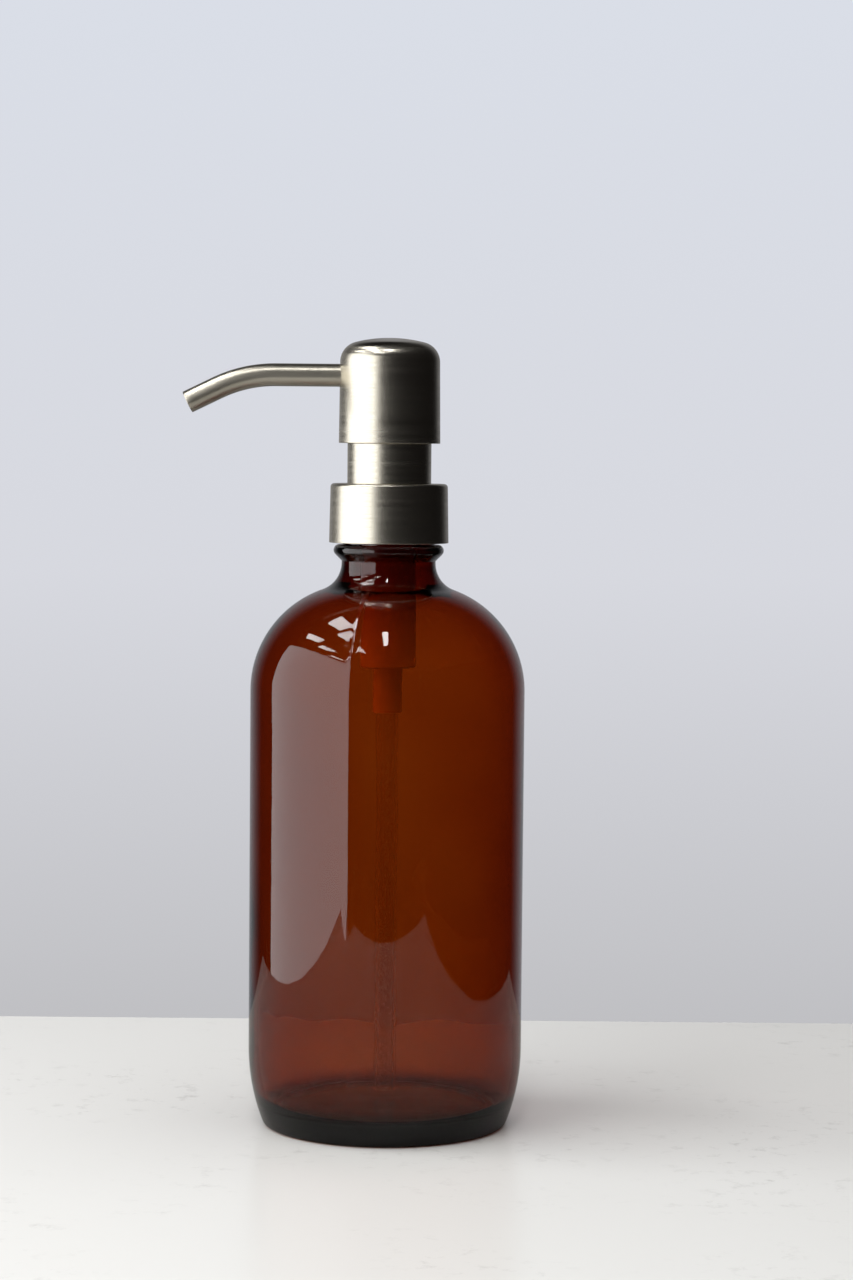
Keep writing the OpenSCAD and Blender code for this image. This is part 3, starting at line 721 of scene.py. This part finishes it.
def head_outline(s):
    """Section of the head's metal cover, with its crown."""
    wide, bottom = high("head_shell").x, low("head_shell").z
    top = high("head_shell").z
    edge_x = wide - s.head_taper - s.crown_edge
    lean = math.sqrt((s.crown_r - s.crown_edge) ** 2 - edge_x ** 2)
    crown_z = top - s.crown_r
    edge_z = crown_z + lean
    angle = math.degrees(math.atan2(lean, edge_x))
    rim = s.rim_round
    return (
        arc(wide - s.wall + rim, bottom + rim, rim, 180, 270, 4)
        + arc(wide - rim, bottom + rim, rim, 270, 360, 4)
        + line((wide, bottom + rim), (wide - s.head_taper, edge_z), 16)
        + arc(edge_x, edge_z, s.crown_edge, 0, angle, 20)
        + arc(0, crown_z, s.crown_r, angle, 90, 16)[1:]
        + arc(0, crown_z, s.crown_r - s.wall, 90, angle, 16)
        + arc(edge_x, edge_z, s.crown_edge - s.wall, angle, 0, 20)[1:])


class SOAP_OT_metal_covers(bpy.types.Operator):
    """Turn the collar cover, the guide sleeve and the head cover from their sections"""
    bl_idname = "soap_dispenser.metal_covers"
    bl_label = "Metal Covers"

    def execute(self, context):
        s = context.scene.soap_metal
        metal = brushed_metal(context.scene.soap_finish)
        for name, node, body, outline in (
                ("collar_cover", "collar_shell", "collar", collar_outline(s)),
                ("sleeve_tube", "guide_sleeve", "pump", sleeve_outline(s)),
                ("head_cover", "head_shell", "head", head_outline(s))):
            piece = turned(name, outline, s.steps)
            if node == "head_shell":
                self.cut_spout_hole(piece, s)
            finish_piece(piece, node, body, metal)
        return {"FINISHED"}

    def cut_spout_hole(self, piece, s):
        """Opens the head's side for the spout."""
        deselect()
        spout_z = high("spout").z - s.spout_r
        bpy.ops.mesh.primitive_cylinder_add(
            radius=s.spout_r, depth=16 * MM, vertices=TUBE_VERTICES,
            location=(-high("head_shell").x, 0, spout_z), rotation=(0, math.pi / 2, 0))
        drill = bpy.context.object
        apply_modifier(piece, "BOOLEAN", operation="DIFFERENCE", object=drill, solver="EXACT")
        bpy.data.objects.remove(drill)
        smooth(piece)


class SOAP_OT_spout(bpy.types.Operator):
    """Draw the spout as a tube, bend it down and soften its cut end"""
    bl_idname = "soap_dispenser.spout"
    bl_label = "Spout"

    def execute(self, context):
        s = context.scene.soap_metal
        spout_z = high("spout").z - s.spout_r
        deselect()
        bpy.ops.mesh.primitive_circle_add(
            radius=s.spout_r, vertices=TUBE_VERTICES, fill_type="NOTHING",
            location=(-s.spout_in, 0, spout_z), rotation=(0, math.pi / 2, 0))
        piece = bpy.context.object
        piece.name = "spout_tube"
        bpy.ops.object.transform_apply(location=True, rotation=True, scale=True)
        bpy.ops.object.mode_set(mode="EDIT")
        bpy.ops.mesh.select_all(action="SELECT")
        self.draw_on(run=s.spout_reach - s.spout_in, fall=0.0, steps=12)
        bpy.ops.mesh.spin(steps=24, angle=s.bend, center=(-s.spout_reach, 0, spout_z - s.bend_r),
                          axis=(0, 1, 0))
        self.draw_on(run=s.tip, fall=s.bend, steps=6)
        close_mesh()
        apply_modifier(piece, "SOLIDIFY", thickness=s.spout_wall, offset=-1, use_even_offset=True)
        apply_modifier(piece, "BEVEL", width=0.12 * MM, segments=3, limit_method="ANGLE",
                       angle_limit=math.radians(50))
        self.lay_out(piece, s, spout_z)
        smooth(piece)
        metal = spout_metal(context.scene.soap_finish)
        finish_piece(piece, "spout", "head", metal)
        return {"FINISHED"}

    def draw_on(self, run, fall, steps):
        """Extrudes the open end straight on, falling at an angle."""
        step = (-run * math.cos(fall) / steps, 0, -run * math.sin(fall) / steps)
        for _ in range(steps):
            bpy.ops.mesh.extrude_region_move(TRANSFORM_OT_translate={"value": step})

    def lay_out(self, piece, s, spout_z):
        """Gives the tube a UV map: round the tube in U, along it in V, in centimetres."""
        layer = piece.data.uv_layers.new(name="tube").data
        centre_z = spout_z - s.bend_r
        for face in piece.data.polygons:
            first = None
            for loop in face.loop_indices:
                co = piece.data.vertices[piece.data.loops[loop].vertex_index].co
                turn = min(max(math.atan2(-(co.x + s.spout_reach), co.z - centre_z), 0.0), s.bend)
                arm = (-math.sin(turn), math.cos(turn))
                middle = (-s.spout_reach + s.bend_r * arm[0], centre_z + s.bend_r * arm[1])
                off = (co.x - middle[0], co.z - middle[1])
                out = off[0] * arm[0] + off[1] * arm[1]
                on = -off[0] * arm[1] + off[1] * arm[0]
                around = math.atan2(co.y, out) / FULL_TURN
                if first is None:
                    first = around
                around += round(first - around)
                layer[loop].uv = (around * 2, (s.bend_r * turn + on) / (10 * MM))


class SOAP_OT_return_spring(bpy.types.Operator):
    """Wind the return spring at its length at rest, as it stands before the head goes down"""
    bl_idname = "soap_dispenser.return_spring"
    bl_label = "Return Spring"

    def execute(self, context):
        s = context.scene.soap_spring
        bottom, top = low("return_spring").z, high("return_spring").z
        rise = s.closed * s.wire
        middle = top - bottom - s.wire - 2 * rise
        first = bottom + s.wire / 2
        parts = [self.coil(s, first, 1, rise),
                 self.coil(s, first + rise, s.turns - 2, middle),
                 self.coil(s, first + rise + middle, 1, rise)]
        deselect()
        for part in parts:
            part.select_set(True)
        piece = parts[0]
        bpy.context.view_layer.objects.active = piece
        bpy.ops.object.join()
        piece.name = "spring_coil"
        bpy.ops.object.mode_set(mode="EDIT")
        bpy.ops.mesh.select_all(action="SELECT")
        bpy.ops.mesh.remove_doubles(threshold=s.wire / 100)
        bpy.ops.mesh.fill_holes(sides=0)
        close_mesh()
        smooth(piece, degrees=50)
        finish_piece(piece, "return_spring", "pump", steel(context.scene.soap_finish))
        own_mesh(piece)
        return {"FINISHED"}

    def coil(self, s, z, turns, rise):
        """A round wire wound through whole turns, from height z upwards."""
        deselect()
        mean = high("return_spring").x - s.wire / 2
        bpy.ops.mesh.primitive_circle_add(radius=s.wire / 2, vertices=12, fill_type="NOTHING",
                                          location=(mean, 0, z), rotation=(math.pi / 2, 0, 0))
        part = bpy.context.object
        bpy.ops.object.transform_apply(location=True, rotation=True, scale=True)
        apply_modifier(part, "SCREW", angle=turns * FULL_TURN, screw_offset=rise, axis="Z",
                       steps=turns * s.steps, render_steps=turns * s.steps)
        return part


class SOAP_OT_pump_engine(bpy.types.Operator):
    """Finish the moulded and steel pieces inside the pump"""
    bl_idname = "soap_dispenser.pump_engine"
    bl_label = "Pump Engine"

    def execute(self, context):
        finish = context.scene.soap_finish
        natural_dark = darker(finish.natural, 0.95)
        clear = plastic("clear_plastic", finish.natural, natural_dark, roughness=0.22,
                        see_through=0.97, bend=1.2)
        frosted = plastic("frosted_plastic", finish.natural, natural_dark, roughness=0.5,
                          see_through=0.45, bend=1.2)
        white = plastic("pump_plastic", finish.white, darker(finish.white, 0.93), roughness=0.42)
        liner = plastic("liner_plastic", finish.natural, darker(finish.natural, 0.94), roughness=0.5)
        seal = plastic("seal_plastic", finish.seal, finish.seal_dark, roughness=0.38)
        finishes = {
            "housing": frosted, "dip_tube": clear, "chaplet": white, "stem": white, "stem_seat": white,
            "piston": seal, "collar_liner": liner, "head_core": liner, "spout_liner": liner,
            "inlet_ball": steel(finish), "neck_gasket": foam(finish)}
        for node, material in finishes.items():
            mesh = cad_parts[node].data
            mesh.materials.clear()
            mesh.materials.append(material)
        return {"FINISHED"}


# ---------------------------------------------------------------- stage

class SOAP_OT_stage(bpy.types.Operator):
    """Set up the table, the soft lights and the camera"""
    bl_idname = "soap_dispenser.stage"
    bl_label = "Stage"

    def execute(self, context):
        s = context.scene.soap_stage
        context.scene.view_settings.view_transform = "Standard"
        self.camera(context, s)
        self.table(s)
        self.lights(s)
        self.world(context)
        return {"FINISHED"}

    def camera(self, context, s):
        """A long lens, looking along +Y and a little down."""
        deselect()
        level = math.pi / 2
        look = Euler((level - s.pitch, 0, 0)).to_matrix() @ Euler((0, 0, s.roll)).to_matrix()
        bpy.ops.object.camera_add(location=s.camera_at, rotation=look.to_euler())
        camera = bpy.context.object
        camera.data.lens = s.lens
        camera.data.sensor_width = 36
        context.scene.camera = camera

    def table(self, s):
        """A stone table top with a softened far edge."""
        deselect()
        left, right, near, thick = -0.27, 0.24, -0.38, 0.03
        width, depth = right - left, s.table_edge - near
        bpy.ops.mesh.primitive_cube_add(
            size=1, location=(right - width / 2, s.table_edge - depth / 2, -thick / 2))
        top = bpy.context.object
        top.name = "table"
        top.scale = (width, depth, thick)
        bpy.ops.object.transform_apply(location=True, rotation=False, scale=True)
        apply_modifier(top, "BEVEL", width=0.003, segments=3)
        top.data.materials.append(table_stone(s))

    def soft_light(self, name, place, turn, size, power):
        """A rectangular soft light that only reflections and shading see."""
        deselect()
        bpy.ops.object.light_add(type="AREA", location=place, rotation=turn)
        lamp = bpy.context.object
        lamp.name = name
        lamp.data.shape = "RECTANGLE"
        lamp.data.size, lamp.data.size_y = size
        lamp.data.energy = power
        lamp.visible_camera = False
        lamp.visible_transmission = False
        return lamp

    def lights(self, s):
        """A window on the left, a skylight of six panes, a narrow strip and a weak fill overhead."""
        width, height, distance, foot = 2.05, 1.6, 1.2, -0.62
        side = math.radians(70)
        power = s.window * math.pi * width * height
        place = (-distance * math.sin(side), -distance * math.cos(side), foot + height / 2)
        self.soft_light("window", place, (math.pi / 2, 0, -side), (width, height), power)
        across, up = Vector((0.0, 1.0, 0.0)), Vector((-0.87, 0.0, -0.5))
        pane, gap = 0.38, 0.05
        middle = Vector((-0.78, -0.40, 1.15))
        lean = (math.radians(-14), math.radians(30), 0)
        for column in (-1, 0, 1):
            for row in (-0.5, 0.5):
                place = middle + (across * column + up * row) * (pane + gap)
                self.soft_light("skylight", place, lean, (pane, pane), s.pane)
        lean = (math.radians(-26), 0, 0)
        self.soft_light("strip", (-0.03, -0.62, 1.25), lean, (0.08, 0.6), s.strip)
        fill = self.soft_light("fill", (0.35, -0.2, 1.6), (0, 0, 0), (1.6, 1.6), s.fill)
        fill.visible_glossy = False

    def world(self, context):
        """A pale wall behind for the eye, and a dim room with that wall for reflections and shading."""
        wall_from, wall_full = 0.62, 0.97
        low_sight, high_sight = -0.19, 0.14
        dark, pale = (0.010, 0.009, 0.009, 1), (0.34, 0.34, 0.36, 1)
        shades = ((0.0, (0.52, 0.52, 0.54, 1)), (0.45, (0.68, 0.69, 0.74, 1)), (1.0, (0.70, 0.73, 0.80, 1)))
        world = bpy.data.worlds.new("room")
        context.scene.world = world
        world.use_nodes = True
        tree = world.node_tree
        add, link = tree.nodes.new, tree.links.new
        background = tree.nodes["Background"]
        direction = add("ShaderNodeTexCoord")
        split = add("ShaderNodeSeparateXYZ")
        link(direction.outputs["Generated"], split.inputs["Vector"])
        wall = add("ShaderNodeMapRange")
        wall.interpolation_type = "SMOOTHSTEP"
        wall.inputs["From Min"].default_value = wall_from
        wall.inputs["From Max"].default_value = wall_full
        link(split.outputs["Y"], wall.inputs["Value"])
        room = add("ShaderNodeMix")
        room.data_type = "RGBA"
        room.inputs[6].default_value = dark
        room.inputs[7].default_value = pale
        link(wall.outputs["Result"], room.inputs[0])
        rise = add("ShaderNodeValToRGB")
        stops = rise.color_ramp.elements
        stops.new(shades[1][0])
        for stop, (position, shade) in zip(stops, shades):
            stop.position = position
            stop.color = shade
        height = add("ShaderNodeMapRange")
        height.inputs["From Min"].default_value = low_sight
        height.inputs["From Max"].default_value = high_sight
        link(split.outputs["Z"], height.inputs["Value"])
        link(height.outputs["Result"], rise.inputs["Fac"])
        path = add("ShaderNodeLightPath")
        sight = add("ShaderNodeMath")
        sight.operation = "MAXIMUM"
        link(path.outputs["Is Camera Ray"], sight.inputs[0])
        link(path.outputs["Is Transmission Ray"], sight.inputs[1])
        seen = add("ShaderNodeMix")
        seen.data_type = "RGBA"
        link(sight.outputs["Value"], seen.inputs[0])
        link(room.outputs[2], seen.inputs[6])
        link(rise.outputs["Color"], seen.inputs[7])
        link(seen.outputs[2], background.inputs["Color"])


# ---------------------------------------------------------------- add-on

class SOAP_PT_dispenser(bpy.types.Panel):
    """Lists the settings and the steps in the sidebar."""
    bl_idname = "SOAP_PT_dispenser"
    bl_label = "Soap Dispenser"
    bl_space_type = "VIEW_3D"
    bl_region_type = "UI"
    bl_category = "Soap Dispenser"

    def draw(self, context):
        for group in GROUPS:
            box = self.layout.box()
            settings = getattr(context.scene, group)
            for key in settings.__annotations__:
                box.prop(settings, key)
        for operator in OPERATORS:
            self.layout.operator(operator.bl_idname)


GROUPS = {"soap_bottle": BottleSizes, "soap_metal": MetalSizes, "soap_spring": SpringSizes,
          "soap_finish": Finishes, "soap_stage": StageSettings}
OPERATORS = (SOAP_OT_stage, SOAP_OT_glass_bottle, SOAP_OT_metal_covers, SOAP_OT_spout,
             SOAP_OT_return_spring, SOAP_OT_pump_engine)


def register():
    """Registers the classes and the scene's settings."""
    for cls in (*GROUPS.values(), *OPERATORS, SOAP_PT_dispenser):
        bpy.utils.register_class(cls)
    for name, cls in GROUPS.items():
        setattr(bpy.types.Scene, name, PointerProperty(type=cls))


def unregister():
    """Removes the scene's settings and the classes."""
    for name in GROUPS:
        delattr(bpy.types.Scene, name)
    for cls in reversed((*GROUPS.values(), *OPERATORS, SOAP_PT_dispenser)):
        bpy.utils.unregister_class(cls)


def main():
    """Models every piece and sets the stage."""
    register()
    bpy.ops.soap_dispenser.stage()
    bpy.ops.soap_dispenser.glass_bottle()
    bpy.ops.soap_dispenser.metal_covers()
    bpy.ops.soap_dispenser.spout()
    bpy.ops.soap_dispenser.return_spring()
    bpy.ops.soap_dispenser.pump_engine()


if __name__ == "__main__":
    main()
